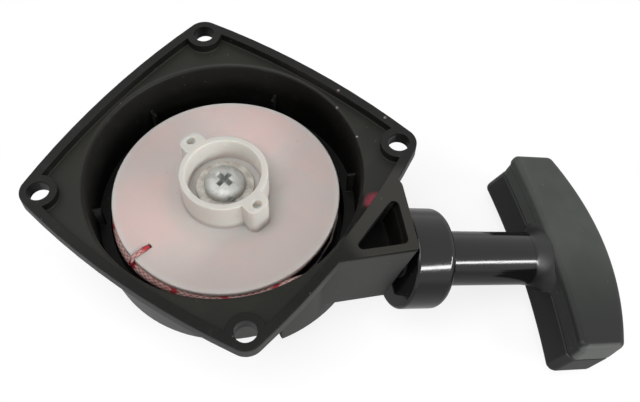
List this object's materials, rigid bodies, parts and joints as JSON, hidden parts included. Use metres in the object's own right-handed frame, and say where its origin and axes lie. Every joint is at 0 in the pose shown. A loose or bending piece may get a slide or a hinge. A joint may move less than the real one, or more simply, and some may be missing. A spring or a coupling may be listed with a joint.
{
  "type": "recoil starter",
  "caption": "Pull starter for a small engine: square flanged housing with a rope reel, recoil spring and drive lugs, and a T-handle on a rope that springs back.",
  "frame": {"origin": "centre of the bolt circle, on the engine-side face of the flange", "axes": "+Z along the reel's axis towards the engine, +X the way the rope is pulled, seen from above"},
  "size_m": [0.1687, 0.118, 0.0441],
  "materials": {
    "housing_nylon": "matte black moulded nylon",
    "handle_gloss": "polished black plastic",
    "handle_satin": "satin dark green-grey plastic",
    "reel_nylon": "milky white nylon",
    "plated_steel": "zinc plated",
    "spring_steel": "blued spring steel",
    "insert_brass": "turned",
    "rope_braid": "braided rope with red tracer"
  },
  "bodies": {
    "housing": {"housing": "housing_nylon", "rope_eyelet": "plated_steel", "threaded_insert": "insert_brass", "retaining_washer": "plated_steel", "centre_screw": "plated_steel", "recoil_spring": "spring_steel", "rope_lead": "rope_braid"},
    "reel": {"reel": "reel_nylon", "rope_winding": "rope_braid", "reel_knot": "rope_braid"},
    "rope_end": {"rope_run": "rope_braid", "knot_washer": "plated_steel", "handle_knot": "rope_braid"},
    "handle": {"handle_grip": "handle_gloss", "handle_cover": "handle_satin"}
  },
  "joints": [
    {"name": "handle_pull", "type": "slide", "parent": "housing", "child": "rope_end", "axis": [0.9563, 0, -0.2924], "range_m": [0, 0.62], "stiffness_N_per_m": 16, "springref_m": -0.5, "deforming": ["rope_run", "rope_lead"]},
    {"name": "reel_spin", "type": "hinge", "parent": "housing", "child": "reel", "pos_m": [0, 0, -0.017], "axis": [0, 0, 1], "range_deg": [0, 1540], "deforming": ["rope_winding", "recoil_spring"]},
    {"name": "handle_twist", "type": "hinge", "parent": "rope_end", "child": "handle", "pos_m": [0.0452, -0.0283, -0.017], "axis": [0.9563, 0, -0.2924], "continuous": true}
  ],
  "couplings": [
    {"joint": "reel_spin", "follows": "handle_pull", "rad_per_m": 43}
  ]
}
